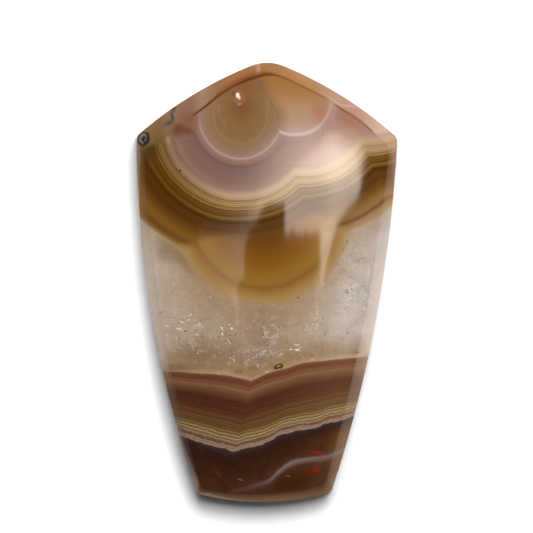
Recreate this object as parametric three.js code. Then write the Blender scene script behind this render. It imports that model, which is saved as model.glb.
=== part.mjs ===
// A polished agate cabochon in the shape of a shield: pointed at the top, widest at the
// shoulders and tapering to a narrow foot. It lies on its flat back, and its domed face
// looks up. Millimetres, +Z up, +Y towards the point.

import * as THREE from 'three';

// Each corner of an outline: where its two sides would meet, how far along both sides the
// rounding starts, and how far the side that leads on from it bows outwards. The bevel there
// starts this far below the dome. The corners run anticlockwise, seen from above.
const girdleCorners = {
  point: { x: 0.05, y: 25.33, rounding: 2, bow: 0.83, drop: 1.15 },
  leftShoulder: { x: -14.9, y: 16.57, rounding: 0.55, bow: 1.66, drop: 1.0 },
  footLeft: { x: -7.99, y: -24.04, rounding: 0.6, bow: 1.01, drop: 0.75 },
  footRight: { x: 7.38, y: -23.93, rounding: 0.7, bow: 1.38, drop: 0.95 },
  rightShoulder: { x: 14.92, y: 16.4, rounding: 0.55, bow: 0.85, drop: 1.0 },
};

// The sharp line where the bevel meets the dome. The bevel is narrowest at the foot.
const creaseCorners = {
  point: { x: -0.6, y: 23.98, rounding: 2, bow: 0.29 },
  leftShoulder: { x: -13.88, y: 14.77, rounding: 0.6, bow: 1.21 },
  footLeft: { x: -7.42, y: -23.36, rounding: 0.7, bow: 0.81 },
  footRight: { x: 6.64, y: -22.83, rounding: 0.8, bow: 0.86 },
  rightShoulder: { x: 13.89, y: 15.36, rounding: 0.6, bow: 0.97 },
};

const thickness = 6.2; // at the top of the dome
const backChamfer = 0.4; // small bevel that keeps the back's edge from chipping
const girdleLean = 0.12; // the upright edge leans in this much towards its top
const bevelBulge = { inwards: 0.44, upwards: 0.5 }; // where the bevel's curve is pulled to
const domeRadiusAcross = 75; // curvature of the dome from side to side
const domeRadiusAlong = 300; // curvature of the dome from point to foot

const stepsPerSide = 14;
const stepsPerCorner = 4;
const bevelSteps = 3;
const domeRings = 9;

const sagOfArc = (distance, radius) => radius - Math.sqrt(radius * radius - distance * distance);

// Height of the domed face above the back.
function domeHeight(x, y) {
  return thickness - sagOfArc(x, domeRadiusAcross) - sagOfArc(y, domeRadiusAlong);
}

// One bowed side: the circular arc from one corner to the next, given how far it bows.
function bowedSide(from, to) {
  const start = new THREE.Vector2(from.x, from.y);
  const end = new THREE.Vector2(to.x, to.y);
  const chord = end.clone().sub(start);
  const radius = chord.lengthSq() / (8 * from.bow) + from.bow / 2;
  const outward = new THREE.Vector2(chord.y, -chord.x).normalize();
  const centre = start.clone().lerp(end, 0.5).addScaledVector(outward, from.bow - radius);
  const middleAngle = Math.atan2(outward.y, outward.x);
  const halfAngle = Math.asin(chord.length() / (2 * radius));
  const firstAngle = middleAngle - halfAngle + from.rounding / radius;
  const lastAngle = middleAngle + halfAngle - to.rounding / radius;
  return new THREE.EllipseCurve(centre.x, centre.y, radius, radius, firstAngle, lastAngle, false);
}

// The closed outline through all corners, as points: side, rounded corner, side and so on.
function outline(namedCorners) {
  const corners = Object.values(namedCorners);
  const sides = corners.map((corner, i) => bowedSide(corner, corners[(i + 1) % corners.length]));
  const points = [];
  sides.forEach((side, i) => {
    const nextSide = sides[(i + 1) % sides.length];
    const nextCorner = corners[(i + 1) % corners.length];
    const tip = new THREE.Vector2(nextCorner.x, nextCorner.y);
    const round = new THREE.QuadraticBezierCurve(side.getPoint(1), tip, nextSide.getPoint(0));
    points.push(...side.getPoints(stepsPerSide).slice(0, -1));
    points.push(...round.getPoints(stepsPerCorner).slice(0, -1));
  });
  return points;
}

// The same outline drawn in towards the stone's long axis by a small distance.
function drawnIn(points, distance) {
  return points.map((point, i) => {
    const before = points[(i + points.length - 1) % points.length];
    const after = points[(i + 1) % points.length];
    const along = after.clone().sub(before).normalize();
    return point.clone().add(new THREE.Vector2(-along.y, along.x).multiplyScalar(distance));
  });
}

// How far below the crease the bevel starts, for each point of the outline.
function bevelDrops() {
  const corners = Object.values(girdleCorners);
  return corners.flatMap((corner, i) => {
    const next = corners[(i + 1) % corners.length];
    return Array.from({ length: stepsPerSide + stepsPerCorner }, (_, step) => (
      THREE.MathUtils.lerp(corner.drop, next.drop, Math.min(step / stepsPerSide, 1))
    ));
  });
}

// The bevel's slightly rounded slope at one place: from the top of the upright edge to the crease.
function bevelCurve(girdlePoint, creasePoint, drop) {
  const high = domeHeight(creasePoint.x, creasePoint.y);
  const pull = girdlePoint.clone().lerp(creasePoint, bevelBulge.inwards);
  return new THREE.QuadraticBezierCurve3(
    new THREE.Vector3(girdlePoint.x, girdlePoint.y, high - drop),
    new THREE.Vector3(pull.x, pull.y, high - drop * (1 - bevelBulge.upwards)),
    new THREE.Vector3(creasePoint.x, creasePoint.y, high),
  );
}

// Rings of points from the back's edge, up round the sides and in to the dome's top.
function stoneRings() {
  const girdle = outline(girdleCorners);
  const crease = outline(creaseCorners);
  const level = (points, z) => points.map((point) => new THREE.Vector3(point.x, point.y, z));
  const rings = [
    level(drawnIn(girdle, backChamfer), 0),
    level(girdle, backChamfer),
  ];
  const drops = bevelDrops();
  const bevels = drawnIn(girdle, girdleLean).map((point, i) => bevelCurve(point, crease[i], drops[i]));
  for (let step = 0; step <= bevelSteps; step += 1) {
    rings.push(bevels.map((curve) => curve.getPoint(step / bevelSteps)));
  }
  for (let ring = domeRings - 1; ring > 0; ring -= 1) {
    const share = ring / domeRings;
    rings.push(crease.map((point) => {
      const x = point.x * share;
      const y = point.y * share;
      return new THREE.Vector3(x, y, domeHeight(x, y));
    }));
  }
  return rings;
}

function stoneGeometry() {
  const rings = stoneRings();
  const count = rings[0].length;
  const points = rings.flat();
  const backMiddle = points.push(new THREE.Vector3(0, 0, 0)) - 1;
  const domeTop = points.push(new THREE.Vector3(0, 0, thickness)) - 1;
  const lastRing = (rings.length - 1) * count;
  const faces = [];
  for (let i = 0; i < count; i += 1) {
    const next = (i + 1) % count;
    faces.push(backMiddle, next, i);
    for (let ring = 0; ring < rings.length - 1; ring += 1) {
      const low = ring * count;
      const high = low + count;
      faces.push(low + i, low + next, high + next);
      faces.push(low + i, high + next, high + i);
    }
    faces.push(lastRing + i, lastRing + next, domeTop);
  }
  const geometry = new THREE.BufferGeometry().setFromPoints(points);
  geometry.setIndex(faces);
  return geometry;
}

// The origin is under the middle of the stone's box, on the back.
function centreOnBack(geometry) {
  geometry.computeBoundingBox();
  const middle = geometry.boundingBox.getCenter(new THREE.Vector3());
  geometry.translate(-middle.x, -middle.y, -geometry.boundingBox.min.z);
  geometry.computeVertexNormals();
  return geometry;
}

const bandedAgate = new THREE.MeshStandardMaterial({
  name: 'banded agate',
  color: 0x7a5a3c,
  roughness: 0.08,
  metalness: 0,
});

const agate = new THREE.Mesh(centreOnBack(stoneGeometry()), bandedAgate);
agate.name = 'agate';

const cabochon = new THREE.Group();
cabochon.add(agate);

export default cabochon;
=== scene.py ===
import math

import bmesh
import bpy
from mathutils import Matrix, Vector


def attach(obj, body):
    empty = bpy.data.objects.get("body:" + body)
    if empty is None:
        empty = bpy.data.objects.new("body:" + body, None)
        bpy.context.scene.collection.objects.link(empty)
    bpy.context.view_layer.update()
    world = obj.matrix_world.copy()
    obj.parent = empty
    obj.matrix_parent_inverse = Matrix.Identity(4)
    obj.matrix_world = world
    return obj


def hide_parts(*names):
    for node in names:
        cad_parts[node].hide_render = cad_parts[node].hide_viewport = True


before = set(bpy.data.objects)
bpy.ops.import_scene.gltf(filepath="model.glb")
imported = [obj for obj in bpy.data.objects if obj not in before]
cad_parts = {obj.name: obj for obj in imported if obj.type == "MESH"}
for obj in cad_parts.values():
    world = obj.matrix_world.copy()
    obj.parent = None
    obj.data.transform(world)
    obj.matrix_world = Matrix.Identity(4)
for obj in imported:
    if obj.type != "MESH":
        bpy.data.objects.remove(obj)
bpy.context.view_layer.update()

mm = 0.001


def toLinear(hexCode):
    # sRGB hex such as "#7a5a3c" to the linear colour that shaders work in
    parts = [int(hexCode[i:i + 2], 16) / 255 for i in (1, 3, 5)]
    return [c / 12.92 if c <= 0.04045 else ((c + 0.055) / 1.055) ** 2.4 for c in parts] + [1.0]


# the cut stone, in mm, seen from above with its point away from the viewer
stone = {
    # corner: where its two sides would meet, how far along them the rounding starts, bow of the
    # next side, how far below the dome the bevel starts
    "girdleCorners": [
        (0.05, 25.33, 2.0, 0.83, 1.15),  # point
        (-14.9, 16.57, 0.55, 1.66, 1.0),  # left shoulder
        (-7.99, -24.04, 0.6, 1.01, 0.75),  # left of the foot
        (7.38, -23.93, 0.7, 1.38, 0.95),  # right of the foot
        (14.92, 16.4, 0.55, 0.85, 1.0),  # right shoulder
    ],
    "creaseCorners": [
        (-0.6, 23.98, 2.0, 0.29),
        (-13.88, 14.77, 0.6, 1.21),
        (-7.42, -23.36, 0.7, 0.81),
        (6.64, -22.83, 0.8, 0.86),
        (13.89, 15.36, 0.6, 0.97),
    ],
    "thickness": 6.2,
    "girdleLean": 0.12,
    "backChamfer": 0.4,
    "bevelBulge": (0.44, 0.5),  # where the bevel's curve is pulled to, inwards and upwards
    "radiusAcross": 75.0,
    "radiusAlong": 300.0,
    "sideSteps": 44,
    "cornerSteps": 10,
    "bevelSteps": 10,
    "domeRings": 44,
}


def bowedSide(start, end):
    # points along the arc from one corner to the next, without its rounded ends
    first, last = Vector(start[:2]), Vector(end[:2])
    chord = last - first
    bow = start[3]
    radius = chord.length_squared / (8 * bow) + bow / 2
    outward = Vector((chord.y, -chord.x)).normalized()
    centre = (first + last) / 2 + outward * (bow - radius)
    middle = math.atan2(outward.y, outward.x)
    half = math.asin(chord.length / (2 * radius))
    low = middle - half + start[2] / radius
    high = middle + half - end[2] / radius
    steps = stone["sideSteps"]
    angles = [low + (high - low) * i / steps for i in range(steps + 1)]
    return [centre + radius * Vector((math.cos(a), math.sin(a))) for a in angles]


def outline(corners):
    # the closed outline as points: side, rounded corner, side and so on
    sides = [bowedSide(corner, corners[(i + 1) % len(corners)]) for i, corner in enumerate(corners)]
    points = []
    steps = stone["cornerSteps"]
    for i, side in enumerate(sides):
        tip = Vector(corners[(i + 1) % len(corners)][:2])
        after = sides[(i + 1) % len(sides)][0]
        points += side[:-1]
        for step in range(steps):
            t = step / steps
            points.append(side[-1] * (1 - t) ** 2 + tip * 2 * t * (1 - t) + after * t ** 2)
    return points


def drawnIn(points, distance):
    # the same outline, moved inwards by a small distance
    moved = []
    for i, point in enumerate(points):
        along = (points[(i + 1) % len(points)] - points[i - 1]).normalized()
        moved.append(point + distance * Vector((-along.y, along.x)))
    return moved


def domeHeight(x, y):
    sagAcross = stone["radiusAcross"] - math.sqrt(stone["radiusAcross"] ** 2 - x * x)
    sagAlong = stone["radiusAlong"] - math.sqrt(stone["radiusAlong"] ** 2 - y * y)
    return stone["thickness"] - sagAcross - sagAlong


def bevelDrops():
    # how far below the crease the bevel starts, for each point of the outline
    corners = stone["girdleCorners"]
    drops = []
    for i, corner in enumerate(corners):
        after = corners[(i + 1) % len(corners)]
        for step in range(stone["sideSteps"] + stone["cornerSteps"]):
            share = min(step / stone["sideSteps"], 1)
            drops.append(corner[4] * (1 - share) + after[4] * share)
    return drops


def bevelPlace(low, high, drop, share):
    # a place on the bevel's slightly rounded slope, from the upright edge in to the crease
    inwards, upwards = stone["bevelBulge"]
    top = domeHeight(high.x, high.y)
    start = Vector((low.x, low.y, top - drop))
    pull = low.lerp(high, inwards).to_3d() + Vector((0, 0, top - drop * (1 - upwards)))
    end = Vector((high.x, high.y, top))
    return start * (1 - share) ** 2 + pull * 2 * share * (1 - share) + end * share ** 2


def buildStone():
    girdle = outline(stone["girdleCorners"])
    crease = outline(stone["creaseCorners"])
    leaned = drawnIn(girdle, stone["girdleLean"])
    drops = bevelDrops()
    middleX = (max(p.x for p in girdle) + min(p.x for p in girdle)) / 2
    middleY = (max(p.y for p in girdle) + min(p.y for p in girdle)) / 2
    rings = [[(p.x, p.y, stone["backChamfer"]) for p in girdle]]
    for step in range(stone["bevelSteps"] + 1):
        share = step / stone["bevelSteps"]
        bevels = zip(leaned, crease, drops)
        rings.append([bevelPlace(low, high, drop, share) for low, high, drop in bevels])
    for ring in range(stone["domeRings"] - 1, 0, -1):
        share = ring / stone["domeRings"]
        rings.append([(p.x * share, p.y * share, domeHeight(p.x * share, p.y * share)) for p in crease])
    bm = bmesh.new()
    spoke = bm.verts.layers.int.new("spoke")
    back = [bm.verts.new((p.x, p.y, 0)) for p in drawnIn(girdle, stone["backChamfer"])]
    loop = list(bm.faces.new(back).edges)
    sharp = set(loop)
    for i, vert in enumerate(back):
        vert[spoke] = i
    for i, ring in enumerate(rings):
        made = bmesh.ops.extrude_edge_only(bm, edges=loop)["geom"]
        for vert in (v for v in made if isinstance(v, bmesh.types.BMVert)):
            vert.co = ring[vert[spoke]]
        loop = [e for e in made if isinstance(e, bmesh.types.BMEdge)]
        if i in (0, 1, 1 + stone["bevelSteps"]):  # both ends of the upright edge, and the crease
            sharp.update(loop)
    top = {v for e in loop for v in e.verts}
    bmesh.ops.pointmerge(bm, verts=list(top), merge_co=(0, 0, stone["thickness"]))
    bmesh.ops.translate(bm, verts=bm.verts, vec=(-middleX, -middleY, 0))
    bmesh.ops.scale(bm, verts=bm.verts, vec=(mm, mm, mm))
    bmesh.ops.recalc_face_normals(bm, faces=bm.faces)
    for f in bm.faces:
        f.smooth = True
    for e in bm.edges:
        e.smooth = e not in sharp
    mesh = bpy.data.meshes.new("agateStone")
    bm.to_mesh(mesh)
    bm.free()
    obj = bpy.data.objects.new("agateStone", mesh)
    bpy.context.scene.collection.objects.link(obj)
    return obj


agateStone = buildStone()
print("stone cut,", len(agateStone.data.polygons), "faces")

# Laguna agate: chalcedony laid down in fine bands around a few eyes, with a patch of clear
# crackled quartz, all ground and polished together. The polish gives a hard wet gloss, and
# light gets a little way into the quartz.
agateMaterial = bpy.data.materials.new("polished laguna agate")
agateMaterial.use_nodes = True
tree = agateMaterial.node_tree
tree.nodes.clear()

plus = {"operation": "ADD"}
minus = {"operation": "SUBTRACT"}
times = {"operation": "MULTIPLY"}
over = {"operation": "DIVIDE"}
lower = {"operation": "MINIMUM"}
higher = {"operation": "MAXIMUM"}
smooth = {"interpolation_type": "SMOOTHSTEP"}


def addNode(kind, inputs=(), stops=None, out=0, **settings):
    # adds a node with its settings, its links or fixed values, and a ramp's colour stops
    node = tree.nodes.new("ShaderNode" + kind)
    for name, value in settings.items():
        setattr(node, name, value)
    for key, value in inputs.items() if isinstance(inputs, dict) else enumerate(inputs):
        if isinstance(value, bpy.types.NodeSocket):
            tree.links.new(value, node.inputs[key])
        else:
            node.inputs[key].default_value = toLinear(value) if isinstance(value, str) else value
    for i, (place, colour) in enumerate(stops or ()):
        element = node.color_ramp.elements[i] if i < 2 else node.color_ramp.elements.new(place)
        element.position = place
        element.color = toLinear(colour)
    return node.outputs[out]


def bandsAlong(distance, bands):
    # colours laid along a distance, each from its own place on
    first, last = min(bands), max(bands)
    share = addNode("MapRange", (distance, first, last))
    stops = [((place - first) / (last - first), colour) for place, colour in sorted(bands.items())]
    stops = [stops[0], stops[-1]] + stops[1:-1]
    return addNode("ValToRGB", (share,), stops)


def curveAlong(value, levels):
    # a smooth curve through given levels at given places
    first, last = min(levels), max(levels)
    low, high = min(levels.values()), max(levels.values())
    curve = addNode("FloatCurve", {"Value": addNode("MapRange", (value, first, last))})
    points = curve.node.mapping.curves[0].points
    for i, (place, level) in enumerate(sorted(levels.items())):
        point = points[i] if i < 2 else points.new(1.0, 1.0)
        point.location = ((place - first) / (last - first), (level - low) / (high - low))
        point.handle_type = "AUTO_CLAMPED"
    curve.node.mapping.update()
    return addNode("MapRange", (curve, 0.0, 1.0, low, high))


def together(*masks):
    # where all of the masks hold
    held = masks[0]
    for mask in masks[1:]:
        held = addNode("Math", (held, mask), **times)
    return held


def within(*ramps, share=None):
    # a mask of eased ramps, multiplied; each is a value, the two marks it runs between and,
    # where they aren't 0 and 1, the levels there
    masks = [addNode("MapRange", ramp, **smooth) for ramp in ramps]
    return together(*masks) if share is None else together(*masks, share)


def roundLobe(place, centre, radius):
    # distance outwards from the rim of a round lobe
    reach = addNode("VectorMath", (place, (*centre, 0.0)), out=1, operation="DISTANCE")
    return addNode("Math", (reach, radius), **minus)


def perMm(*sizes):
    # a pattern's scale from its sizes in mm
    return tuple(1 / size for size in sizes)


def ridge(distance, halfWidth):
    # a soft line along distance zero
    away = addNode("Math", (distance,), operation="ABSOLUTE")
    return within((away, halfWidth, 0.0))


def softPatch(x, y, halfAcross, halfAlong, turn=0.0, edge=0.8, strength=1.0):
    # a soft oval near the face, turned by some degrees; the smaller the edge, the crisper its rim
    oval = {"Vector": ragged, "Location": (x, y, 0.0), "Rotation": (0.0, 0.0, math.radians(turn)),
            "Scale": (halfAcross, halfAlong, 1.0)}
    place = addNode("Mapping", oval, vector_type="TEXTURE")
    inside = addNode("TexGradient", (place,), out=1, gradient_type="SPHERICAL")
    return together(within((inside, 0.0, edge, 0.0, strength)), nearFace)


def layPatches(base, patches):
    # each patch: colour, strength, then place, half sizes, turn and edge
    for hexCode, strength, *oval in patches:
        base = addNode("MixRGB", (softPatch(*oval, strength), base, hexCode))
    return base


# how the bands bend, in mm
layout = {
    "warpSize": 5.0, "warpReach": 0.22,
    "wobbleSize": 0.9, "wobbleReach": 0.045,
    "raggedSize": 0.45, "raggedReach": 0.16,
    "columnTop": 5.0,  # below this height the bands start to lean
    "columnLean": (0.016, -0.036),  # mm for each square mm of depth
    "markDepths": (1.2, 2.6),  # small marks fade out between these heights
}
noiseMiddle = (0.5, 0.5, 0.5)
noiseSpan = (0.3, 0.7)  # nearly all values of a noise pattern lie in between

objectPlace = addNode("TexCoord", out=3)
placeMm = addNode("Mapping", {"Vector": objectPlace, "Scale": (1 / mm,) * 3})
placeX = addNode("SeparateXYZ", (placeMm,), out=0)
placeY = addNode("SeparateXYZ", (placeMm,), out=1)
height = addNode("SeparateXYZ", (placeMm,), out=2)
nearFace = within((height, *layout["markDepths"]))
bent = placeMm
for size, reach, detail in (("warpSize", "warpReach", 1.0), ("wobbleSize", "wobbleReach", 2.0)):
    noise = addNode("TexNoise", {"Vector": placeMm, "Scale": 1 / layout[size], "Detail": detail}, out=1)
    shift = addNode("VectorMath", (noise, noiseMiddle), **minus)
    shift = addNode("VectorMath", (shift, (layout[reach] * 2,) * 3), **times)
    bent = addNode("VectorMath", (bent, shift), **plus)
sunk = addNode("Math", (addNode("Math", (layout["columnTop"], height), **minus), 0.0), **higher)
sunk = together(sunk, sunk)
lean = addNode("CombineXYZ", (
    together(sunk, layout["columnLean"][0]), together(sunk, layout["columnLean"][1]), 0.0))
bent = addNode("VectorMath", (bent, lean), **plus)
flat = addNode("VectorMath", (bent, (1.0, 1.0, 0.0)), **times)
flatX = addNode("SeparateXYZ", (flat,), out=0)
flatY = addNode("SeparateXYZ", (flat,), out=1)
grain = addNode("TexNoise", {"Vector": placeMm, "Scale": 1 / layout["raggedSize"], "Detail": 2.0}, out=1)
shift = addNode("VectorMath", (grain, noiseMiddle), **minus)
raggedReach = layout["raggedReach"] * 2
shift = addNode("VectorMath", (shift, (raggedReach, raggedReach, 0.0)), **times)
ragged = addNode("Mapping", {"Vector": addNode("VectorMath", (flat, shift), **plus)})

# how deep the bevel has cut below the curve of the dome
acrossSag = addNode("Math", (together(placeX, placeX), 2 * stone["radiusAcross"]), **over)
alongSag = addNode("Math", (together(placeY, placeY), 2 * stone["radiusAlong"]), **over)
cutDepth = addNode("Math", (stone["thickness"], acrossSag), **minus)
cutDepth = addNode("Math", (cutDepth, alongSag), **minus)
cutDepth = addNode("Math", (cutDepth, height), **minus)

# the two eyes near the point, cut off by the bevel there, and a fine seam between them
eyes = {
    "leftCentre": (-2.93, 18.71), "leftRadius": 4.71,
    "rightCentre": (3.15, 20.88), "rightRadius": 4.25,
    "seam": {16.0: 1.3, 16.87: 1.43, 17.55: 1.21, 18.23: 1.21, 18.8: 1.32, 19.37: 1.09, 20.44: 0.41,
             21.52: -0.16, 22.77: -0.72, 24.6: -0.95},  # x by y
    "leftRim": 0.23, "rightRim": 0.34, "seamLine": 0.16,  # half widths
}
pastStone = 100.0  # further out than any of it; above its centre an eye runs straight on
leftOpen = addNode("VectorMath", (flat, (pastStone, eyes["leftCentre"][1], pastStone)), **lower)
rightOpen = addNode("VectorMath", (flat, (pastStone, eyes["rightCentre"][1], pastStone)), **lower)
leftEye = roundLobe(leftOpen, eyes["leftCentre"], eyes["leftRadius"])
rightEye = roundLobe(rightOpen, eyes["rightCentre"], eyes["rightRadius"])
eyeRim = addNode("Math", (leftEye, rightEye), **lower)
pastSeam = addNode("Math", (flatX, curveAlong(flatY, eyes["seam"])), **minus)
rightOfSeam = within((pastSeam, -0.08, 0.08))
leftOfSeam = addNode("Math", (1.0, rightOfSeam), **minus)

# the growth rims that follow the eyes outwards, as round lobes
growthLobes = [  # centre, radius of the gold rim, radius of the outer rim, how crowded its bands are
    ((-3.0, 18.23), 8.23, 15.78, 1.6),
    ((3.97, 20.38), 7.8, 15.55, 1.25),
    ((11.30, 25.38), 9.25, 17.0, 1.3),
]
amberLobe = ((-0.47, 7.30), 9.92)  # centre, radius
goldRim = None
outerRim = None
for centre, goldRadius, outerRadius, crowding in growthLobes:
    inner = roundLobe(flat, centre, goldRadius)
    outer = together(roundLobe(flat, centre, outerRadius), crowding)
    goldRim = addNode("Math", (goldRim, inner), **lower) if goldRim else inner
    outerRim = addNode("Math", (outerRim, outer), **lower) if outerRim else outer
amberRim = roundLobe(flat, *amberLobe)

# fine growth lines along the gold rim, crispest between the cream and the brown
pins = {
    "lineGap": 0.2, "hairGap": 0.12, "shift": 3.7,  # mm; the shift picks which lines
    "lineGain": (-0.32, 0.36), "hairGain": (-0.16, 0.16),
}
pinPlace = addNode("Math", (goldRim, pins["shift"]), **plus)
pinLines = {"W": pinPlace, "Scale": 1 / pins["lineGap"], "Detail": 0.0}
pinLines = addNode("TexNoise", pinLines, noise_dimensions="1D")
pinLines = within((pinLines, 0.36, 0.64, *pins["lineGain"]))
hairLines = {"W": pinPlace, "Scale": 1 / pins["hairGap"], "Detail": 1.0}
hairLines = addNode("TexNoise", hairLines, noise_dimensions="1D")
hairLines = addNode("MapRange", (hairLines, 0.34, 0.66, *pins["hairGain"]))
pinFade = within((goldRim, 3.3, 2.3, 0.3, 1.0), (goldRim, -0.6, 0.5))
pinGain = together(addNode("Math", (pinLines, hairLines), **plus), pinFade)
pinGain = addNode("Math", (pinGain, 1.0), **plus)

# bands outwards from the gold rim: cream, fine gold lines, then dark brown; places in mm
goldBands = {
    -0.95: "#8c6b5c", -0.50: "#967868", -0.15: "#a58870", 0.12: "#b09274", 0.36: "#a8876a",
    0.70: "#947146", 1.10: "#9c7a48", 1.45: "#987544", 1.80: "#82602e", 2.20: "#664416",
    2.66: "#644215", 2.95: "#81602c", 3.14: "#5a3a10", 3.32: "#482807", 3.60: "#573512",
    4.40: "#5b3813", 5.05: "#6b4519",
}
# bands inwards from the amber lobe's rim, and from the outer rims on both sides of it
amberBands = {
    -9.80: "#593610", -8.20: "#5d3a13", -7.50: "#683f12", -6.85: "#6e4413", -6.20: "#744a16",
    -5.50: "#7c4f18", -4.80: "#805418", -4.13: "#885b1e", -3.10: "#926828", -2.43: "#936a2b",
    -1.97: "#875e2b", -1.40: "#986f37", -1.07: "#9f7841", -0.73: "#a5804c", -0.40: "#a68657",
    0.00: "#a2865f",
}
outerBands = {
    -5.10: "#5b3913", -4.00: "#684318", -3.18: "#724c1a", -2.36: "#7e551e", -1.80: "#7a5220",
    -1.27: "#6d461b", -0.95: "#72491d", -0.45: "#866030", 0.10: "#906c3a", 0.60: "#98793f",
}
goldColour = addNode("HueSaturation", {"Value": pinGain, "Color": bandsAlong(goldRim, goldBands)})
rightGold = within((flatX, 2.0, 9.0), (goldRim, 2.2, 1.0), share=0.36)
goldColour = addNode("MixRGB", (rightGold, goldColour, "#c0a082"))
farLeft = within((flatX, -3.6, -12.0), share=0.50)
goldColour = addNode("MixRGB", (farLeft, goldColour, "#4b2a00"))
amberShare = addNode("Math", (outerRim, amberRim), **minus)
amberShare = within((amberShare, -0.9, 0.9))
outermost = addNode("Math", (outerRim, amberRim, 1.3), operation="SMOOTH_MIN")
amberColour = addNode("MixRGB", (
    amberShare, bandsAlong(outermost, outerBands), bandsAlong(outermost, amberBands)))
rightOuter = within((flatX, 7.5, 10.5), (outerRim, -3.4, -0.4), share=0.56)
amberColour = addNode("MixRGB", (rightOuter, amberColour, "#b5946c"))
rightLine = ridge(addNode("Math", (outerRim, 1.30), **plus), 0.50)
rightLine = together(rightLine, within((flatX, 6.0, 8.5)), 0.75)
amberColour = addNode("MixRGB", (rightLine, amberColour, "#6f4120"))
print("gold and amber bands laid")

# between the eyes and the gold rim: mauve, with a brown line near the eyes
mauveBands = {
    0.00: "#9a796a", 0.17: "#9c7568", 0.32: "#916c60", 0.46: "#957064", 0.60: "#876358",
    0.72: "#8b685c", 0.92: "#735649", 1.10: "#7f6056", 1.36: "#7e605a", 2.04: "#836258",
    3.20: "#886657",
}
mauveColour = bandsAlong(eyeRim, mauveBands)
mauveColour = addNode("MixRGB", (within((goldRim, -1.5, -0.5)), mauveColour, "#90705f"))
mauveColour = addNode("MixRGB", (within((flatX, -0.5, 5.5), share=0.7), mauveColour, "#b08d80"))

# inside the left eye by distance from its rim, inside the right one by height
leftEyeBands = {
    -4.71: "#86603a", -3.30: "#89663f", -2.60: "#89663f", -1.90: "#8b6945", -1.62: "#937250",
    -1.45: "#8c6c4a", -1.00: "#906f52", -0.60: "#94735d", -0.30: "#987765", 0.00: "#9a796a",
}
rightEyeBands = {
    16.0: "#b8998f", 17.0: "#b69687", 18.0: "#ae8c74", 19.0: "#b08a68", 20.2: "#ad845e",
    21.5: "#a27743", 22.6: "#9d6e38", 24.0: "#99682f",
}
leftEyeColour = bandsAlong(leftEye, leftEyeBands)
rightEyeColour = bandsAlong(flatY, rightEyeBands)
besideSeam = within((pastSeam, 1.6, -0.1), share=0.65)
rightEyeColour = addNode("MixRGB", (besideSeam, rightEyeColour, "#8b6340"))
print("eyes laid")

# the lower bands hang between two low hills that meet in a valley; the valley leans with depth
hills = {
    "valleyTop": -11.34, "valleyLean": 0.245,
    "thickness": 7.9, "lineGap": 0.18, "lipGrain": (0.125, 0.33, 0.33),
    "bandsMeet": 0.69, "lipJag": 0.045,  # shares of the thickness
    "topLine": {-13.0: -10.02, -11.5: -10.06, -10.0: -10.11, -8.0: -10.26, -6.0: -10.43, -4.0: -10.8,
                -3.0: -11.05, -2.0: -11.3, -1.75: -11.36, -1.5: -11.18, -1.0: -10.93, -0.5: -10.65,
                0.0: -10.4, 1.0: -10.02, 2.0: -9.72, 3.0: -9.4, 4.0: -9.16, 6.0: -8.9, 8.0: -8.75,
                10.0: -8.6, 13.0: -8.3},
    "lowLine": {-13.0: -16.5, -10.0: -17.1, -8.0: -17.56, -6.0: -18.18, -5.0: -18.42, -4.0: -18.69,
                -3.0: -18.91, -2.0: -19.19, -1.75: -19.27, -1.5: -19.2, -1.0: -19.0, 0.0: -18.78,
                1.0: -18.5, 1.5: -18.25, 2.0: -18.05, 2.5: -17.71, 3.0: -17.38, 4.0: -17.13,
                5.0: -16.8, 6.0: -16.68, 7.0: -16.42, 7.5: -16.1, 8.0: -15.97, 9.0: -15.75,
                10.0: -15.42, 11.0: -15.05, 13.0: -14.6},
}
leaned = addNode("Math", (hills["valleyTop"], flatY), **minus)
leaned = addNode("Math", (flatX, together(leaned, hills["valleyLean"])), **plus)
hillTop = curveAlong(leaned, hills["topLine"])
hillFoot = curveAlong(leaned, hills["lowLine"])
hillDepthMm = addNode("Math", (hillTop, flatY), **minus)
hillDepth = addNode("Math", (hillDepthMm, addNode("Math", (hillTop, hillFoot), **minus)), **over)
jagged = addNode("Math", (addNode("SeparateColor", (grain,), out=1), noiseMiddle[1]), **minus)
jagged = together(jagged, addNode("MapRange", (hillDepth, 0.5, 1.0, 0.0, hills["lipJag"])))
hillDepth = addNode("Math", (hillDepth, jagged), **plus)

# colours down through the lower bands, as a share of their thickness
upperHillBands = {
    -0.023: "#927860", -0.014: "#b89d86", -0.006: "#83604b", 0.012: "#704431", 0.035: "#6c3d29",
    0.080: "#71442d", 0.120: "#7b5138", 0.155: "#835b3e", 0.190: "#775237", 0.230: "#6a462c",
    0.280: "#5f3b28", 0.315: "#522e1e", 0.350: "#4f2a1b", 0.400: "#56301f", 0.450: "#502b1b",
    0.520: "#5b3720", 0.560: "#644127", 0.600: "#633f23", 0.640: "#704e31", 0.675: "#634525",
    0.690: "#66492a",
}
lowerHillBands = {
    0.690: "#66492a", 0.720: "#73562f", 0.760: "#896b41", 0.800: "#987c50", 0.818: "#7d6138",
    0.834: "#bfa783", 0.850: "#73572e", 0.885: "#957b58", 0.905: "#6a4a30", 0.930: "#764836",
    0.948: "#b0957b", 0.965: "#744636", 0.984: "#b39d86", 0.998: "#6a574c", 1.006: "#40302b",
}
lowerPart = addNode("Math", (hillDepth, hills["bandsMeet"]), operation="GREATER_THAN")
hillColour = addNode("MixRGB", (
    lowerPart, bandsAlong(hillDepth, upperHillBands), bandsAlong(hillDepth, lowerHillBands)))
lineScale = hills["thickness"] / hills["lineGap"]
hillLines = {"W": hillDepth, "Scale": lineScale, "Detail": 1.0, "Roughness": 0.6}
hillLines = addNode("TexNoise", hillLines, noise_dimensions="1D")
hillLines = within((hillLines, 0.38, 0.60))
lineDepth = within((hillDepth, 0.5, 0.72, 0.12, 0.42))
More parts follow.
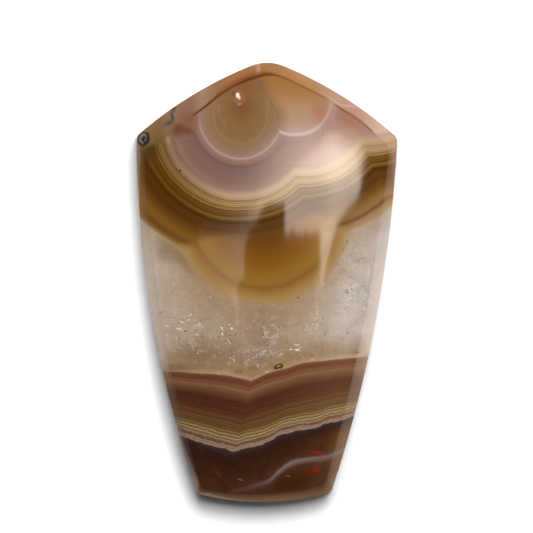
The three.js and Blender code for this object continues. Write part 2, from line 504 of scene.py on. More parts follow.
hillLines = addNode("MapRange", (hillLines, 0.0, 1.0, addNode("Math", (1.0, lineDepth), **minus), 1.13))
hillColour = addNode("HueSaturation", {"Value": hillLines, "Color": hillColour})
lipGrain = addNode("Mapping", {"Vector": ragged, "Scale": perMm(*hills["lipGrain"])})
lipGrain = addNode("TexNoise", {"Vector": lipGrain, "Scale": 1.0, "Detail": 2.0, "Roughness": 0.7})
lipGrain = together(addNode("MapRange", (lipGrain, 0.46, 0.64)), within((hillDepth, 0.82, 0.95)), 0.24)
hillColour = addNode("MixRGB", (lipGrain, hillColour, "#c4b09a"))
rightPale = within((flatX, 0.0, 10.0), share=0.10)
leftDark = within((flatX, -1.0, -7.0, 1.0, 0.89))
hillColour = addNode("HueSaturation", {"Value": leftDark, "Color": hillColour})
hillColour = addNode("MixRGB", (rightPale, hillColour, "#b08c66"))

# under the lower bands: nearly black purple, then red-brown, more olive on the right
footBands = {
    0.00: "#3d2c29", 0.35: "#352521", 0.70: "#341d17", 1.40: "#351b11", 2.20: "#3b2013",
    3.20: "#402416", 4.20: "#452718", 6.00: "#482a1b",
}
footDepth = addNode("Math", (hillFoot, flatY), **minus)
footColour = bandsAlong(footDepth, footBands)
for marks, fullDepth, tint in (((1.5, 8.5), 2.0, "#5c381d"), ((6.4, 9.4), 2.4, "#8f6434")):
    towardsRight = together(
        within((flatX, *marks)), addNode("MapRange", (footDepth, 0.2, fullDepth)), 0.6)
    footColour = addNode("MixRGB", (towardsRight, footColour, tint))
print("lower bands laid")

# quartz: cloudy grey tan, paler on the right, golden near the lower bands
quartzBands = {
    -13.0: "#dbc7b4", -10.9: "#cbb59e", -7.5: "#c2a88c", -3.5: "#bba085", -0.7: "#b3967a",
    2.7: "#bfa286", 6.1: "#cbb5a0", 8.9: "#dfd0c2", 11.8: "#cfc0b0", 13.5: "#d2c7bd",
}
quartzColour = bandsAlong(flatX, quartzBands)
quartzSizes = {"cloud": 2.2, "fibre": (0.31, 4.5, 4.5)}
cloud = {"Vector": ragged, "Scale": 1 / quartzSizes["cloud"], "Detail": 4.0, "Roughness": 0.65}
cloud = addNode("TexNoise", cloud)
cloud = addNode("MapRange", (cloud, *noiseSpan, 0.86, 1.13))
quartzColour = addNode("HueSaturation", {"Value": cloud, "Color": quartzColour})
fibrePlace = addNode("Mapping", {"Vector": ragged, "Scale": perMm(*quartzSizes["fibre"])})
fibres = addNode("TexNoise", {"Vector": fibrePlace, "Scale": 1.0, "Detail": 2.0})
nearHills = within((hillDepthMm, -3.4, -0.8))
fibres = addNode("MapRange", (fibres, *noiseSpan, addNode("MapRange", (nearHills, 0.0, 1.0, 0.97, 0.90)),
                              addNode("MapRange", (nearHills, 0.0, 1.0, 1.04, 1.09))))
quartzColour = addNode("HueSaturation", {"Value": fibres, "Color": quartzColour})
quartzColour = addNode("MixRGB", (together(nearHills, 0.7), quartzColour, "#a98558"))
quartzColour = layPatches(quartzColour, [("#8c6a45", 0.6, -7.0, -8.0, 6.5, 2.6, 0.0, 1.0)])
nearAmber = within((outermost, 3.4, 0.0), share=0.55)
quartzColour = addNode("MixRGB", (nearAmber, quartzColour, "#b8966c"))

# crackles in the quartz: strewn bright glints, which are painted reflections off the cracks, and dark
# specks, more where it is crushed
crackles = {
    "dustSize": 0.2, "glintSize": 0.32, "speckSize": 0.5, "flakeSize": 1.3,
    "glintShare": 0.75, "speckShare": 0.36,  # of the cells, where it is crushed most
    "crushed": [  # place, half sizes, turn, edge
        (-9.2, -4.7, 3.4, 1.2, -5.0, 1.0), (-4.4, -5.9, 2.0, 1.9, 0.0, 1.0),
        (0.2, -5.6, 2.6, 3.6, 0.0, 1.0), (-2.6, -8.4, 5.6, 1.7, 0.0, 1.0),
        (3.3, -7.5, 2.0, 1.1, 0.0, 1.0), (9.9, -1.6, 3.2, 2.6, 20.0, 1.0),
        (-8.4, -7.0, 4.4, 1.9, 0.0, 1.0), (5.6, -4.8, 2.2, 2.2, 0.0, 1.0),
        (9.6, 2.8, 2.4, 3.2, 0.0, 1.0), (-12.4, -3.2, 1.6, 1.4, 0.0, 1.0),
    ],
}
crushed = None
for oval in crackles["crushed"]:
    patch = softPatch(*oval)
    crushed = addNode("Math", (crushed, patch), **higher) if crushed else patch
flakePlace = {"Vector": ragged, "Rotation": (0.0, 0.0, 0.4), "Scale": (1.0, 1.5, 1.0)}
flakePlace = addNode("Mapping", flakePlace)
flakes = addNode("TexNoise", {"Vector": flakePlace, "Scale": 1 / crackles["flakeSize"], "Detail": 4.0,
                              "Roughness": 0.62, "Distortion": 0.6})
flakeShare = addNode("MapRange", (crushed, 0.0, 1.0, 0.14, 0.50))
paleFlakes = together(within((flakes, 0.53, 0.68)), flakeShare)
quartzColour = addNode("MixRGB", (paleFlakes, quartzColour, "#e6dbd0"))
brownFlakes = together(within((flakes, 0.46, 0.34)), flakeShare)
quartzColour = addNode("MixRGB", (brownFlakes, quartzColour, "#8f7258"))
dust = {"Vector": ragged, "Scale": 1 / crackles["dustSize"], "Detail": 2.0, "Roughness": 0.7}
dust = addNode("TexNoise", dust)
dustGain = addNode("MapRange", (dust, *noiseSpan, 0.93, 1.08))
quartzColour = addNode("HueSaturation", {"Value": dustGain, "Color": quartzColour})
# painted glints: small flashes of reflected light off the cracks, laid into the colour as white spots
glintPlace = {"Vector": ragged, "Rotation": (0.0, 0.0, 0.5), "Scale": (1.0, 1.45, 1.0)}
glintPlace = addNode("Mapping", glintPlace)
glint = addNode("TexVoronoi", {"Vector": glintPlace, "Scale": 1 / crackles["glintSize"]})
glintSpread = addNode("MapRange", (crushed, 0.0, 1.0, 0.03, crackles["glintShare"]))
glintDraw = glint.node.outputs["Color"]
glints = together(
    within((glint, 0.36, 0.10)),
    addNode("Math", (addNode("SeparateColor", (glintDraw,)), glintSpread), operation="LESS_THAN"),
    addNode("MapRange", (addNode("SeparateColor", (glintDraw,), out=1), 0.0, 1.0, 0.10, 1.00)))
quartzColour = addNode("MixRGB", (glints, quartzColour, "#f6efe8"))
speck = addNode("TexVoronoi", {"Vector": ragged, "Scale": 1 / crackles["speckSize"]})
speckDraw = speck.node.outputs["Color"]
specks = together(
    within((speck, 0.36, 0.10)),
    addNode("Math", (addNode("SeparateColor", (speckDraw,)), together(crushed, crackles["speckShare"])),
            operation="LESS_THAN"), 0.5)
quartzColour = addNode("MixRGB", (specks, quartzColour, "#77593e"))

# the biggest glints, which are painted reflections off the cracks, and the stained flecks: colour,
# strength, place, half sizes, turn, edge
quartzPatches = [
    ("#8a6628", 0.50, -9.60, 2.60, 4.20, 1.20, -49.0, 1.0),
    ("#765232", 0.65, -10.30, -9.70, 3.60, 0.90, 0.0, 1.0),
    ("#866a4c", 0.55, -11.60, 3.60, 1.80, 2.40, 30.0, 1.0),
    ("#cfc2b8", 0.55, -12.20, -2.90, 0.50, 1.50, 28.0, 1.0),
    ("#cfc2b8", 0.40, -9.60, -3.90, 1.60, 0.50, 15.0, 1.0),
    ("#fffaf2", 0.95, -9.95, -5.24, 0.52, 0.12, -12.0, 0.7),
    ("#fffaf2", 0.80, -11.20, -5.00, 0.30, 0.11, 5.0, 0.7),
    ("#7a5238", 0.70, -9.15, -5.50, 0.34, 0.16, 10.0, 0.8),
    ("#f2ece6", 0.55, -7.60, -5.00, 0.95, 0.13, -12.0, 0.9),
    ("#fffaf2", 0.90, -5.16, -5.20, 0.16, 0.22, 0.0, 0.7),
    ("#fffaf2", 0.70, -3.70, -8.90, 0.10, 0.34, 10.0, 0.8),
    ("#f2ece6", 0.70, 1.70, -8.25, 0.30, 0.12, 0.0, 0.8),
    ("#dfe4ee", 0.75, -0.29, -7.80, 0.26, 0.16, 20.0, 0.7),
    ("#f2ece6", 0.65, -0.98, -9.45, 0.10, 0.34, 0.0, 0.8),
    ("#fffaf2", 0.90, -8.85, -4.30, 0.32, 0.12, 20.0, 0.7),
    ("#fffaf2", 0.85, -9.65, -4.45, 0.45, 0.11, -15.0, 0.7),
    ("#fffaf2", 0.80, -8.62, -3.76, 0.20, 0.11, 40.0, 0.7),
    ("#fffaf2", 0.60, -7.65, -4.75, 0.28, 0.10, 10.0, 0.7),
    ("#d7e2f2", 0.85, -7.84, -5.88, 0.20, 0.17, 0.0, 0.7),
    ("#fffaf2", 0.95, -4.02, -5.26, 0.27, 0.19, 30.0, 0.7),
    ("#fffaf2", 0.80, -4.25, -4.76, 0.20, 0.11, 0.0, 0.7),
    ("#fffaf2", 0.95, -5.10, -5.86, 0.24, 0.17, -30.0, 0.7),
    ("#fffaf2", 0.85, -4.27, -6.66, 0.62, 0.07, -48.0, 0.8),
    ("#eee4d8", 0.55, -10.22, -6.60, 0.06, 0.95, 4.0, 0.8),
    ("#fffaf2", 0.80, 3.35, -7.14, 0.50, 0.10, 4.0, 0.8),
    ("#fffaf2", 0.95, 3.50, -7.75, 0.50, 0.15, -5.0, 0.7),
    ("#fffaf2", 0.70, 2.70, -7.72, 0.25, 0.10, 20.0, 0.7),
    ("#f2ece6", 0.75, 11.05, -3.08, 0.16, 0.30, 10.0, 0.8),
    ("#f2ece6", 0.50, 9.20, -1.90, 0.90, 0.22, 8.0, 1.0),
    ("#f2ece6", 0.50, 11.50, 0.60, 0.28, 1.20, -15.0, 1.0),
    ("#f2ece6", 0.45, 9.90, -0.50, 1.00, 0.36, 25.0, 1.0),
    ("#fffaf2", 0.60, 12.00, -1.40, 0.13, 0.50, 20.0, 0.9),
    ("#fffaf2", 0.55, 9.10, -2.50, 0.40, 0.12, -10.0, 0.9),
    ("#f2ece6", 0.45, -12.60, -7.20, 0.10, 0.90, 3.0, 0.9),
    ("#f2ece6", 0.40, 10.70, -1.20, 0.30, 0.90, -20.0, 1.0),
    ("#f2ece6", 0.55, 0.60, -4.80, 0.22, 0.14, 0.0, 0.8),
    ("#f2ece6", 0.55, -1.20, -8.30, 0.12, 0.32, -20.0, 0.8),
    ("#f2ece6", 0.60, 0.55, -8.00, 0.10, 0.36, 30.0, 0.8),
    ("#b0683c", 0.75, 5.20, -8.30, 0.50, 0.22, 10.0, 0.9),
    ("#b0623c", 0.70, 10.20, -8.02, 0.95, 0.15, 3.0, 0.9),
    ("#7c5c40", 0.55, -3.22, -10.14, 0.50, 0.34, -5.0, 0.35),
    ("#a98763", 0.85, -3.22, -10.14, 0.34, 0.20, -5.0, 0.6),
    ("#8a6c4c", 0.45, -1.52, -9.80, 0.70, 0.42, 0.0, 0.6),
    ("#33221a", 0.92, 1.32, -9.58, 0.66, 0.34, 20.0, 0.35),
    ("#b98457", 0.90, 1.35, -9.55, 0.40, 0.15, 20.0, 0.6),
    ("#8f5a3a", 0.50, 6.63, -5.91, 0.16, 0.20, 0.0, 0.8),
    ("#9a5e4c", 0.55, 9.13, -5.69, 0.22, 0.22, 0.0, 0.8),
    ("#55412c", 0.80, 3.50, -1.72, 0.28, 0.13, 25.0, 0.7),
    ("#5b5148", 0.65, 9.10, 4.60, 0.10, 0.50, -30.0, 0.8),
    ("#5b5148", 0.60, 8.72, 3.80, 0.11, 0.42, -15.0, 0.8),
]
print("quartz crackled")

# the left shoulder: pinkish tan with an olive patch and a red-brown wedge
shoulder = {
    "bands": {-14.4: "#5f4a2c", -13.2: "#6e5632", -12.3: "#6f522a", -11.4: "#7f6446", -10.5: "#8a6854",
              -9.8: "#845e4a", -8.7: "#865f4b", -7.8: "#90694f"},
    "edge": (-0.313, 0.95, 18.6),  # its lower edge, as a slanting line
    "patches": [
        ("#a68a68", 0.70, -11.20, 16.20, 0.40, 0.75, 10.0, 0.9),
        ("#6c432e", 0.85, -10.15, 17.35, 1.05, 1.20, -20.0, 0.9),
        ("#704632", 0.85, -9.20, 17.20, 1.45, 0.60, -14.0, 0.9),
        ("#7c5a46", 0.50, -9.10, 18.75, 0.90, 1.10, -35.0, 1.0),
        ("#2f1d0d", 0.85, -9.75, 12.56, 0.18, 0.20, 0.0, 0.6),
        ("#a8907f", 0.20, -9.05, 16.30, 1.25, 0.10, 18.0, 0.9),
        ("#523814", 0.85, -13.30, 14.60, 1.60, 1.50, 0.0, 0.9),
    ],
}
beyondEdge = addNode("VectorMath", (flat, (*shoulder["edge"][:2], 0.0)), out=1, operation="DOT_PRODUCT")
beyondEdge = addNode("Math", (beyondEdge, shoulder["edge"][2]), **minus)
shoulderMask = within((beyondEdge, -0.1, 0.35), (flatX, -7.3, -8.4))

# right at the face: a dark fern and a ringed spot on the shoulder, a crimson thread in the right eye
faceFlecks = [
    ("#7e766c", 0.55, -9.60, 20.75, 1.60, 0.40, 28.0, 0.9),
    ("#9c9288", 0.50, -11.90, 19.30, 1.60, 0.35, 33.0, 1.0),
    ("#45453c", 0.85, -10.52, 19.70, 0.50, 0.78, -8.0, 0.8),
    ("#45453c", 0.85, -10.70, 18.75, 0.38, 0.82, 6.0, 0.8),
    ("#4a4238", 0.80, -11.10, 18.00, 0.85, 0.50, 30.0, 0.9),
    ("#6a6057", 0.65, -11.80, 17.65, 0.90, 0.34, 12.0, 0.9),
    ("#2e2b2a", 0.95, -13.95, 16.10, 0.74, 0.96, -20.0, 0.25),
    ("#8a8782", 0.75, -14.05, 16.20, 0.50, 0.68, -20.0, 0.4),
    ("#2e2a29", 1.00, -13.90, 16.05, 0.40, 0.56, -20.0, 0.4),
    ("#6d635a", 0.80, -13.78, 16.12, 0.18, 0.28, -20.0, 0.5),
    ("#87868a", 0.80, -14.12, 15.70, 0.12, 0.24, 10.0, 0.6),
    ("#b06a63", 0.80, 6.03, 18.55, 0.14, 0.90, 13.0, 0.9),
    ("#94707a", 0.55, 6.34, 16.95, 0.16, 0.70, 8.0, 1.0),
    ("#c48f88", 0.55, 6.50, 16.00, 0.16, 0.75, 8.0, 1.0),
]

# small marks in the eyes: glow, two streaks that are painted soft highlights, white spot with its ring,
# rose cloud
eyePatches = [
    ("#865431", 0.65, -2.60, 22.60, 3.60, 2.00, 0.0, 0.9),
    ("#7c4e2b", 0.80, -2.75, 19.90, 2.60, 2.50, 0.0, 1.0),
    # painted soft highlights: two pale streaks in the left eye
    ("#a5845c", 0.25, -5.45, 19.60, 0.30, 1.60, 12.0, 1.0),
    ("#a08060", 0.30, -4.80, 18.00, 0.30, 1.30, 20.0, 1.0),
    ("#a06c4c", 0.60, -3.11, 20.92, 0.95, 0.98, 0.0, 0.5),
    ("#8c5c3c", 0.50, -3.11, 20.92, 0.72, 0.74, 0.0, 0.6),
    ("#5f3a22", 0.60, -3.80, 21.35, 0.24, 0.50, 15.0, 0.9),
    ("#fff8ea", 1.00, -3.28, 21.18, 0.27, 0.32, 0.0, 0.6),
    ("#f6e2c4", 0.95, -3.08, 20.90, 0.17, 0.30, 15.0, 0.6),
    ("#d4ac98", 0.45, -3.02, 20.18, 0.32, 0.14, 0.0, 0.8),
    ("#9c6444", 0.80, 9.50, 18.35, 3.00, 1.50, -33.0, 0.9),
    ("#9a5c34", 0.42, 8.90, 17.10, 3.30, 2.40, -30.0, 1.0),
    ("#a05c4a", 0.50, 6.10, 19.30, 1.70, 2.00, 0.0, 1.0),
    ("#dcbca8", 0.22, 7.40, 16.60, 1.90, 1.10, 0.0, 1.0),
    ("#b4817a", 0.40, 7.50, 18.60, 0.60, 1.60, 5.0, 1.0),
    ("#a8686a", 0.60, 1.22, 17.90, 0.12, 0.50, 0.0, 0.9),
]

# the bevel over the point is cut into orange tan, with a dark line along the crease
capBands = {
    -9.10: "#86664f", -8.00: "#9a7563", -7.10: "#9a7765", -5.70: "#906438", -3.40: "#956132",
    -1.30: "#9b653a", -0.90: "#b58a72", -0.60: "#9e6a3c", 1.10: "#99632d", 3.40: "#a26c32",
    5.60: "#a07040", 7.90: "#ad846a", 10.20: "#aa7a63", 12.40: "#c09a84", 14.00: "#cfb6a2",
}
capPatches = [
    ("#e2cbc0", 0.24, 9.30, 19.95, 1.70, 0.16, -12.0, 0.9),
    ("#dcc4b8", 0.28, 7.70, 20.65, 1.20, 0.15, -35.0, 0.9),
    ("#cfa88c", 0.40, -0.90, 24.30, 0.14, 0.80, -8.0, 1.0),
]
crease = {
    "line": {-8.6: 18.75, -7.8: 19.31, -4.75: 21.64, -3.0: 22.55, -1.5: 23.08, -0.3: 23.40, 0.5: 23.45,
             1.4: 23.28, 4.4: 22.03, 6.6: 20.96, 8.0: 19.98, 10.2: 18.55, 12.4: 16.7},  # y by x
    "strength": {-8.6: 0.0, -7.6: 0.85, -4.7: 1.0, -1.5: 1.0, 0.5: 0.95, 2.0: 0.75, 4.4: 0.55,
                 6.4: 0.5, 7.3: 0.05, 8.4: 0.8, 11.2: 0.75, 12.2: 0.0},
    # mm of soft brown above it
    "spread": {-8.6: 0.1, -6.2: 0.35, -4.7: 0.8, -1.5: 0.85, 1.4: 0.35, 7.0: 0.25, 12.4: 0.25},
    "bands": {-8.6: "#602903", 1.0: "#602903", 3.0: "#653806", 8.0: "#7a4a12", 12.4: "#84561e"},
    "grain": (2.9, 0.31, 1.0),  # size of the streaks along the bevel, mm
    "width": {-8.6: 0.26, -0.5: 0.26, 1.5: 0.16, 7.0: 0.16, 9.5: 0.32, 12.4: 0.32},  # half, mm
}

# the growth zones, laid over each other from the outside inwards
quartzMask = within((outermost, -0.45, 0.35))
colour = addNode("MixRGB", (quartzMask, amberColour, layPatches(quartzColour, quartzPatches)))
colour = addNode("MixRGB", (within((goldRim, 5.6, 4.4)), colour, goldColour))
insideGold = within((goldRim, -0.30, -0.75))
colour = addNode("MixRGB", (insideGold, colour, mauveColour))
insideRight = together(within((rightEye, 0.30, -0.45)), rightOfSeam)
colour = addNode("MixRGB", (insideRight, colour, rightEyeColour))
insideLeft = together(within((leftEye, 0.05, -0.05)), leftOfSeam)
colour = addNode("MixRGB", (insideLeft, colour, leftEyeColour))
colour = layPatches(colour, eyePatches)
leftRim = together(ridge(leftEye, eyes["leftRim"]), within((flatY, 20.0, 17.0)), leftOfSeam, 0.58)
colour = addNode("MixRGB", (leftRim, colour, "#b79d94"))
rightRim = together(
    ridge(rightEye, eyes["rightRim"]), within((flatX, 5.2, 7.0, 1.0, 0.35)), rightOfSeam, 0.66)
colour = addNode("MixRGB", (rightRim, colour, "#cfbfb5"))
seamLine = together(ridge(pastSeam, eyes["seamLine"]), within((flatY, 17.6, 18.6)), 0.4)
colour = addNode("MixRGB", (seamLine, colour, "#6b5047"))
pastCrease = addNode("Math", (flatY, curveAlong(flatX, crease["line"])), **minus)
cap = addNode("Math", (within((cutDepth, 0.03, 0.20)), within((pastCrease, -0.05, 0.10))), **higher)
cap = together(cap, within((cutDepth, 1.3, 2.8, 1.0, 0.45)))
capPlace = addNode("CombineXYZ", (flatX, pastCrease, 0.0))
capGrain = addNode("Mapping", {"Vector": capPlace, "Scale": perMm(*crease["grain"])})
capGrain = addNode("TexNoise", {"Vector": capGrain, "Scale": 1.0, "Detail": 3.0, "Roughness": 0.6})
capGrain = addNode("MapRange", (capGrain, *noiseSpan, 0.90, 1.09))
capColour = addNode("HueSaturation", {"Value": capGrain, "Color": bandsAlong(flatX, capBands)})
colour = addNode("MixRGB", (together(cap, insideGold), colour, layPatches(capColour, capPatches)))
colour = addNode("MixRGB", (shoulderMask, colour, bandsAlong(flatX, shoulder["bands"])))
colour = layPatches(colour, shoulder["patches"])
spread = curveAlong(flatX, crease["spread"])
creaseGlow = together(
    addNode("MapRange", (cutDepth, 1.2, 0.8)),
    within((pastCrease, -0.08, 0.06)), within((pastCrease, spread, 0.10)),
    curveAlong(flatX, crease["strength"]), 0.9)
colour = addNode("MixRGB", (creaseGlow, colour, "#7b430b"))
creaseLine = ridge(pastCrease, curveAlong(flatX, crease["width"]))
creaseLine = together(creaseLine, curveAlong(flatX, crease["strength"]), 0.9)
colour = addNode("MixRGB", (creaseLine, colour, bandsAlong(flatX, crease["bands"])))

# a pale lilac wisp with red spots runs through the foot
wisp = {
    "line": {-5.0: -23.9, -2.5: -23.3, -1.2: -22.97, 0.0: -22.6, 0.64: -22.17, 1.2: -21.6, 1.66: -21.26,
             2.23: -20.81, 3.36: -20.36, 4.27: -20.19, 5.18: -20.07, 6.1: -20.0, 7.0: -19.8,
             7.9: -19.42, 8.8: -18.98, 10.5: -18.3},  # y by x
    "strength": {-5.0: 0.0, -2.0: 0.2, 0.0: 0.5, 1.2: 0.85, 2.2: 1.0, 4.3: 0.9, 6.1: 0.75, 7.9: 0.85,
                 10.5: 0.9},
    "core": 0.48, "haze": 1.1,  # half widths, mm
    "strandGap": 0.22, "murkSize": 1.1,
    "patches": [
        ("#3f2205", 0.85, 3.00, -22.60, 3.60, 1.40, 14.0, 0.9),
        ("#5a3a20", 0.60, 7.40, -22.00, 1.00, 2.60, -22.0, 1.0),
        ("#8a2410", 0.90, 5.80, -19.36, 1.35, 0.27, -10.0, 0.9),
        ("#96280e", 0.90, 6.45, -19.70, 0.60, 0.18, -12.0, 0.9),
        ("#6e2414", 0.60, 4.80, -19.15, 0.90, 0.24, 8.0, 1.0),
        ("#8c1e08", 0.90, 5.55, -21.15, 0.65, 0.42, 35.0, 0.9),
        ("#701c0a", 0.75, 4.75, -21.50, 0.90, 0.36, 10.0, 0.9),
        ("#6a2a1c", 0.65, -5.50, -21.55, 0.90, 0.30, -42.0, 1.0),
        ("#866a54", 0.55, -3.00, -22.25, 0.50, 0.16, -15.0, 0.9),
        ("#8f6c40", 0.60, 2.40, -21.95, 0.40, 0.14, -10.0, 0.9),
        ("#25180c", 0.60, 0.10, -20.60, 0.70, 0.22, 20.0, 0.9),
        ("#5b3326", 0.50, -3.00, -23.55, 2.20, 0.30, 8.0, 1.0),
    ],
}
footMurk = {"Vector": ragged, "Scale": 1 / wisp["murkSize"], "Detail": 3.0, "Roughness": 0.6}
footMurk = addNode("TexNoise", footMurk)
footMurk = addNode("MapRange", (footMurk, *noiseSpan, 0.84, 1.18))
footColour = addNode("HueSaturation", {"Value": footMurk, "Color": footColour})
footColour = layPatches(footColour, wisp["patches"])
wispAway = addNode("Math", (flatY, curveAlong(flatX, wisp["line"])), **minus)
wispThere = curveAlong(flatX, wisp["strength"])
wispHaze = together(ridge(wispAway, wisp["haze"]), wispThere, 0.32)
footColour = addNode("MixRGB", (wispHaze, footColour, "#6b4c40"))
strands = {"W": wispAway, "Scale": 1 / wisp["strandGap"], "Detail": 2.0}
strands = addNode("TexNoise", strands, noise_dimensions="1D")
strands = addNode("MapRange", (strands, 0.35, 0.6, 0.55, 1.0))
wispCore = together(ridge(wispAway, wisp["core"]), wispThere, strands, 0.92)
footColour = addNode("MixRGB", (wispCore, footColour, "#85736e"))

colour = addNode("MixRGB", (within((hillDepth, -0.016, -0.008)), colour, hillColour))
inFoot = within((hillDepth, 0.998, 1.006))
colour = addNode("MixRGB", (inFoot, colour, footColour))

# painted glow: the base colour turns paler where light would come through the thin edge of the bevel,
# most at the foot
edge = {
    "glow": {-24.5: 0.80, -22.5: 0.62, -19.0: 0.22, -14.0: 0.22, -10.0: 0.56, -2.0: 1.0, 5.0: 0.62,
             10.0: 0.42, 15.0: 0.42, 20.0: 0.2, 25.0: 0.2},
    "colour": {-22.0: "#b38c68", 0.0: "#b5906a", 14.0: "#b58344", 19.0: "#b58f72"},
    "quartzColour": "#f0dcc8",
    "across": {-14.0: 1.0, 0.0: 1.0, 6.0: 0.75, 9.0: 0.85, 14.0: 1.0},
    "onSides": 0.18,  # how much of it stays lower down the upright edge
}
edgeGlow = together(
    addNode("MapRange", (cutDepth, 0.01, 0.07)), within((cutDepth, -0.28, 0.95)),
    within((cutDepth, 1.15, 2.3, 1.0, edge["onSides"])), curveAlong(flatY, edge["glow"]),
    curveAlong(flatX, edge["across"]))
inQuartz = together(quartzMask, within((hillDepthMm, 0.0, -0.8)))
edgeGlowColour = addNode("MixRGB", (inQuartz, bandsAlong(flatY, edge["colour"]), edge["quartzColour"]))
colour = addNode("MixRGB", (edgeGlow, colour, edgeGlowColour))
colour = layPatches(colour, faceFlecks)
colour = addNode("MixRGB", (1.0, colour, "#dbdbdb"), blend_type="MULTIPLY")

polish = {"roughness": 0.05, "refraction": 1.54, "quartzClearness": 0.25}
surface = addNode("BsdfPrincipled", {
    "Base Color": colour,
    "Roughness": polish["roughness"],
    "IOR": polish["refraction"],
    "Transmission Weight": together(inQuartz, polish["quartzClearness"]),
})
tree.links.new(surface, tree.nodes.new("ShaderNodeOutputMaterial").inputs["Surface"])
agateStone.data.materials.append(agateMaterial)
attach(agateStone, "root")
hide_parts("agate")
print("agate polished")

# the table it lies on, just clear of the stone's back; metres
table = {"reach": 1.5, "gap": 0.02 * mm}
bm = bmesh.new()
bmesh.ops.create_grid(bm, x_segments=1, y_segments=1, size=table["reach"])
bmesh.ops.translate(bm, verts=bm.verts, vec=(0, 0, -table["gap"]))
floorMesh = bpy.data.meshes.new("paleFloor")
bm.to_mesh(floorMesh)
bm.free()
floor = bpy.data.objects.new("paleFloor", floorMesh)
bpy.context.scene.collection.objects.link(floor)
# matte white card: an even pale ground with no gloss, so the soft shadow is all it shows
floorMaterial = bpy.data.materials.new("matte white card")
floorMaterial.use_nodes = True
cardSurface = floorMaterial.node_tree.nodes["Principled BSDF"].inputs
cardSurface["Base Color"].default_value = toLinear("#fafafa")
cardSurface["Roughness"].default_value = 0.9
cardSurface["Specular IOR Level"].default_value = 0.1
floorMesh.materials.append(floorMaterial)

# soft boxes: middle and size in metres, how bright each looks, and its tint
softBoxes = {
    "mainBox": ((0.068, 0.3175, 0.60), (0.39, 0.365), 13.9, "#ffffff"),
    "overhead": ((0.06, 0.085, 0.601), (0.36, 0.078), 11.6, "#eef2ff"),
    "drapedBox": ((0.0335, 0.058, 0.60), (0.367, 0.144), 12.0, "#fff1e0"),
    "rightSeam": ((0.0975, -0.0145, 0.5995), (0.003, 0.037), 2.6, "#fff4e8"),
    "leftSeam": ((-0.0577, -0.018, 0.5995), (0.003, 0.020), 2.0, "#fff4e8"),
}
lamps = {}
for name, (place, size, radiance, tint) in softBoxes.items():
    light = bpy.data.lights.new(name, "AREA")
    light.shape = "RECTANGLE"
    light.size, light.size_y = size
    light.energy = radiance * math.pi * size[0] * size[1]
    light.color = toLinear(tint)[:3]
    lamps[name] = bpy.data.objects.new(name, light)
    lamps[name].location = place
    bpy.context.scene.collection.objects.link(lamps[name])

# the box that the dome mirrors is draped with cloth and black card, which shapes its mirror
# image; brightness and edges by place on the box, in mm
drapes = {
    "acrossDome": {-110: 0.0, -60: 0.12, -30: 0.26, 7: 0.35, 19: 0.38, 31: 0.52, 42: 0.76, 54: 0.85,
                   160: 0.9},
    "slantTop": 61.3, "acrossSlant": 3.5,  # below this the fade moves left, so far for each mm
    "acrossAll": {-110: 0.0, -60: 0.32, -40: 0.5, -16: 0.75, 0: 1.0, 90: 0.97, 115: 1.05, 131: 1.2,
                  150: 1.15, 172: 1.0, 217: 0.9},
    "alongDome": {-14: 0.45, 14: 0.56, 24: 0.62, 40: 0.57, 54: 0.66, 62: 0.84, 73: 0.95, 84: 0.6,
                  92: 0.2, 100: 0.11, 130: 0.05},
    "domeRight": {-14: 100, 0: 110, 13: 119, 34: 139, 41: 153, 46: 167, 52: 182, 61: 189, 76: 190,
                  130: 190},
    "rightFade": {40: 1.5, 56: 3.0, 72: 18.0},
    "cardLeft": {20: -44, 26: -38, 34: -24, 43: -10, 48: 2},
    "cardRight": (36.0, 34.0), "cardTop": (48.0, 46.0),
    "fray": 2.4, "frayGap": 9.0,  # how unevenly the cloth's lower hem hangs, mm
    "stripLevel": 0.2,
    "acrossStrip": {-150: 0.28, -110: 0.38, -40: 1.0},
    "alongStrip": {-14: 1.0, 22: 1.0, 29: 0.6, 35: 0.2, 42: 0.1, 47: 0.3, 51: 0.55, 56: 0.0},
    "stripRight": {-14: -58, -1: -57, 3: -45, 20: -43, 34: -26, 43: -14, 56: 0},
    "stripLeft": {-14: -66, 30: -137, 36: -125, 44: -100, 56: -80},
}
lamps["overhead"].visible_glossy = False  # the cloth hides it from the dome
lamps["drapedBox"].data.use_nodes = True
tree = lamps["drapedBox"].data.node_tree
spot = addNode("VectorMath", (addNode("NewGeometry"), (1 / mm,) * 3), **times)
spotX = addNode("SeparateXYZ", (spot,), out=0)
spotY = addNode("SeparateXYZ", (spot,), out=1)
pastRight = addNode("Math", (spotX, curveAlong(spotY, drapes["domeRight"])), **minus)
softEdge = curveAlong(spotY, drapes["rightFade"])
sharpEdge = addNode("Math", (0.0, softEdge), **minus)
pastCard = addNode("Math", (spotX, curveAlong(spotY, drapes["cardLeft"])), **minus)
frayed = {"W": spotX, "Scale": 1 / drapes["frayGap"], "Detail": 3.0}
frayed = addNode("TexNoise", frayed, noise_dimensions="1D")
frayed = addNode("MapRange", (frayed, *noiseSpan, -drapes["fray"], drapes["fray"]))
frayed = addNode("Math", (spotY, frayed), **plus)
card = together(
    within((pastCard, -1.5, 1.5)),
    within((spotX, *drapes["cardRight"])),
    within((spotY, *drapes["cardTop"])))
slanted = addNode("Math", (spotY, addNode("MapRange", (spotX, -60.0, 217.0, -13.0, 6.0))), **plus)
farthest = drapes["slantTop"] * drapes["acrossSlant"]
movedX = addNode("MapRange", (spotY, 0.0, drapes["slantTop"], farthest, 0.0), clamp=False)
movedX = addNode("Math", (spotX, movedX), **plus)
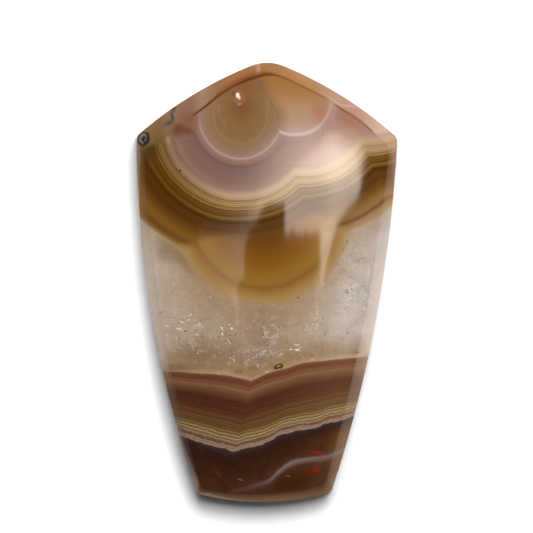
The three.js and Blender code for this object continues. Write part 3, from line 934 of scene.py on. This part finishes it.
domeStrength = together(
    curveAlong(movedX, drapes["acrossDome"]),
    curveAlong(spotX, drapes["acrossAll"]),
    curveAlong(slanted, drapes["alongDome"]),
    within((pastRight, softEdge, sharpEdge)),
    addNode("Math", (1.0, card), **minus),
    addNode("Math", (within((frayed, 27.5, 31.5)), within((spotX, 100.0, 109.0))), **higher),
    addNode("Math", (within((frayed, 31.0, 42.0)), within((spotX, 20.0, 36.0))), **higher))
pastRight = addNode("Math", (spotX, curveAlong(spotY, drapes["stripRight"])), **minus)
pastLeft = addNode("Math", (spotX, curveAlong(spotY, drapes["stripLeft"])), **minus)
stripStrength = together(
    curveAlong(spotX, drapes["acrossStrip"]),
    curveAlong(spotY, drapes["alongStrip"]),
    within((pastRight, 1.5, -1.5)),
    within((pastLeft, -3.0, 6.0)),
    drapes["stripLevel"])
strength = addNode("Math", (domeStrength, stripStrength), **higher)
tree.links.new(strength, tree.nodes["Emission"].inputs["Strength"])
print("lights set")

# dim surroundings with a white wall on the right, open towards the foot
tent = {
    "upwards": {0.0: 1.0, 0.25: 1.0, 0.45: 0.75, 0.67: 0.4, 0.9: 0.05, 1.0: 0.04},  # by the direction's z
    "sideways": {-1.0: 0.5, -0.85: 0.28, -0.6: 0.1, -0.2: 0.1, 0.2: 0.5, 0.5: 1.2, 1.0: 1.6},  # by its x
    "footToHead": {-1.0: 0.1, -0.5: 0.3, -0.3: 0.5, -0.22: 0.75, -0.15: 1.1, -0.09: 0.6, -0.03: 0.4,
                   0.1: 0.5, 0.3: 0.8, 1.0: 0.8},  # by its y
}
world = bpy.data.worlds.new("white wall")
world.use_nodes = True
bpy.context.scene.world = world
tree = world.node_tree
skyward = addNode("TexCoord")
tentLight = together(
    curveAlong(addNode("SeparateXYZ", (skyward,), out=2), tent["upwards"]),
    curveAlong(addNode("SeparateXYZ", (skyward,), out=0), tent["sideways"]),
    curveAlong(addNode("SeparateXYZ", (skyward,), out=1), tent["footToHead"]))
tree.links.new(tentLight, tree.nodes["Background"].inputs["Strength"])
tree.nodes["Background"].inputs["Color"].default_value = toLinear("#ffffff")

# camera straight above, with the point at the top of the picture
view = {
    "pixels": 533, "pixelSize": 0.1135,  # across the picture; mm on the table
    "middle": (-0.04, 1.78),  # mm, what the camera looks at
    "distance": 2000.0,
    "sensor": 36.0,
}
camera = bpy.data.cameras.new("camera")
camera.sensor_width = view["sensor"]
pictureWidth = view["pixels"] * view["pixelSize"]
camera.lens = view["sensor"] * view["distance"] / pictureWidth
camera.clip_start = 0.01
cameraObject = bpy.data.objects.new("camera", camera)
cameraObject.location = Vector((*view["middle"], view["distance"])) * mm
bpy.context.scene.collection.objects.link(cameraObject)
bpy.context.scene.camera = cameraObject
bpy.context.scene.view_settings.view_transform = "Standard"
